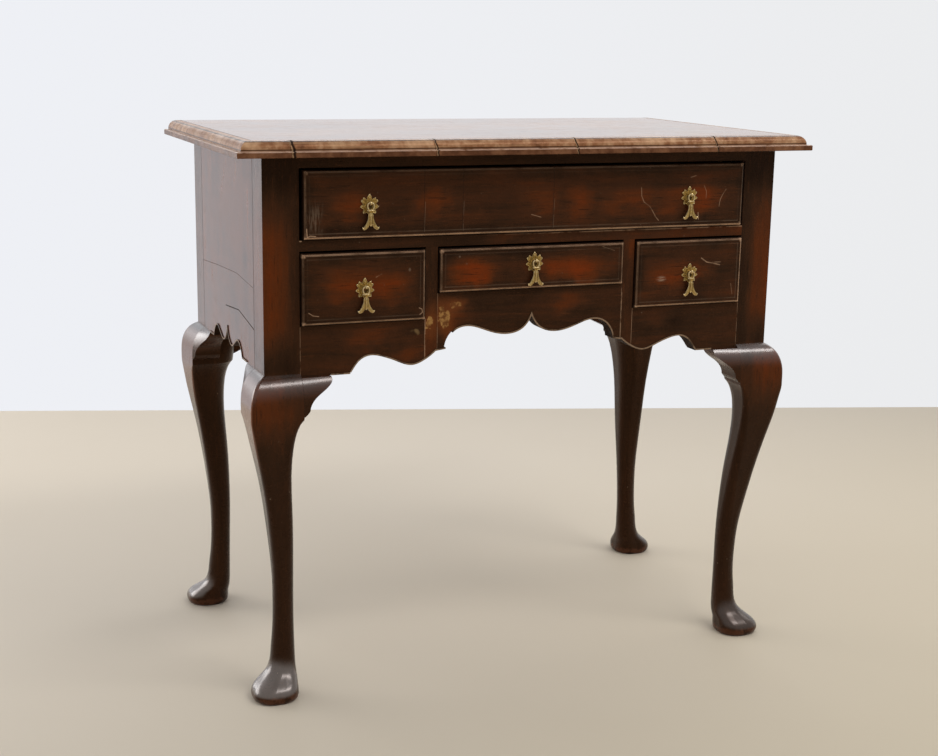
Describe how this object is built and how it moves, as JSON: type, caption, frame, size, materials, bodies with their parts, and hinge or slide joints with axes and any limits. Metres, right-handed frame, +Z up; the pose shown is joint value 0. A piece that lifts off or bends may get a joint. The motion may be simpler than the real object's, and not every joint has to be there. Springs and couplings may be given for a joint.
{
  "type": "lowboy",
  "caption": "Lowboy dressing table on cabriole legs with pad feet, shaped aprons, sliding drawers and swinging brass drop pulls under a moulded top.",
  "frame": {"origin": "on the floor under the middle of the top", "axes": "+Z up, the front and its drawers face -Y, +X runs to the right for someone facing the front"},
  "size_m": [0.807, 0.45, 0.73],
  "materials": {
    "walnut": "aged waxed polish",
    "oak": "unfinished, darkened with age",
    "brass": "tarnished, rubbed bright on raised edges"
  },
  "bodies": {
    "case": {"apron_centre": "walnut", "apron_left": "walnut", "apron_right": "walnut", "back_panel": "oak", "centre_drawer_runners": "oak", "cockbead_front": "walnut", "cockbead_sides": "walnut", "drawer_guides": "oak", "drawer_stops": "oak", "kickers": "oak", "knee_blocks_back_left": "walnut", "knee_blocks_back_right": "walnut", "knee_blocks_front_left": "walnut", "knee_blocks_front_right": "walnut", "leg_back_left": "walnut", "leg_back_right": "walnut", "leg_front_left": "walnut", "leg_front_right": "walnut", "long_drawer_runners": "oak", "mid_rail": "walnut", "muntin_left": "walnut", "muntin_right": "walnut", "partitions": "oak", "side_drawer_runners": "oak", "side_panel_left": "walnut", "side_panel_right": "walnut", "top_board": "walnut", "top_moulding_front": "walnut", "top_moulding_left": "walnut", "top_moulding_right": "walnut", "top_rail": "walnut"},
    "long_drawer": {"long_drawer_back": "oak", "long_drawer_backplates": "brass", "long_drawer_bottom": "oak", "long_drawer_cotters": "brass", "long_drawer_front": "walnut", "long_drawer_sides": "oak"},
    "left_drawer": {"left_drawer_back": "oak", "left_drawer_backplates": "brass", "left_drawer_bottom": "oak", "left_drawer_cotters": "brass", "left_drawer_front": "walnut", "left_drawer_sides": "oak"},
    "centre_drawer": {"centre_drawer_back": "oak", "centre_drawer_backplates": "brass", "centre_drawer_bottom": "oak", "centre_drawer_cotters": "brass", "centre_drawer_front": "walnut", "centre_drawer_sides": "oak"},
    "right_drawer": {"right_drawer_back": "oak", "right_drawer_backplates": "brass", "right_drawer_bottom": "oak", "right_drawer_cotters": "brass", "right_drawer_front": "walnut", "right_drawer_sides": "oak"},
    "long_drawer_left_pull": {"long_drawer_left_drop": "brass"},
    "long_drawer_right_pull": {"long_drawer_right_drop": "brass"},
    "left_drawer_pull": {"left_drawer_drop": "brass"},
    "centre_drawer_pull": {"centre_drawer_drop": "brass"},
    "right_drawer_pull": {"right_drawer_drop": "brass"}
  },
  "joints": [
    {"name": "long_drawer_slide", "type": "slide", "parent": "case", "child": "long_drawer", "axis": [0, -1, 0], "range_m": [0, 0.28]},
    {"name": "left_drawer_slide", "type": "slide", "parent": "case", "child": "left_drawer", "axis": [0, -1, 0], "range_m": [0, 0.28]},
    {"name": "centre_drawer_slide", "type": "slide", "parent": "case", "child": "centre_drawer", "axis": [0, -1, 0], "range_m": [0, 0.28]},
    {"name": "right_drawer_slide", "type": "slide", "parent": "case", "child": "right_drawer", "axis": [0, -1, 0], "range_m": [0, 0.28]},
    {"name": "long_drawer_left_drop_swing", "type": "hinge", "parent": "long_drawer", "child": "long_drawer_left_pull", "pos_m": [-0.229, -0.2025, 0.65085], "axis": [-1, 0, 0], "range_deg": [-6, 150]},
    {"name": "long_drawer_right_drop_swing", "type": "hinge", "parent": "long_drawer", "child": "long_drawer_right_pull", "pos_m": [0.229, -0.2025, 0.65085], "axis": [-1, 0, 0], "range_deg": [-6, 150]},
    {"name": "left_drawer_drop_swing", "type": "hinge", "parent": "left_drawer", "child": "left_drawer_pull", "pos_m": [-0.23485, -0.2025, 0.54485], "axis": [-1, 0, 0], "range_deg": [-6, 150]},
    {"name": "centre_drawer_drop_swing", "type": "hinge", "parent": "centre_drawer", "child": "centre_drawer_pull", "pos_m": [0, -0.2025, 0.56945], "axis": [-1, 0, 0], "range_deg": [-6, 150]},
    {"name": "right_drawer_drop_swing", "type": "hinge", "parent": "right_drawer", "child": "right_drawer_pull", "pos_m": [0.23485, -0.2025, 0.54485], "axis": [-1, 0, 0], "range_deg": [-6, 150]}
  ]
}
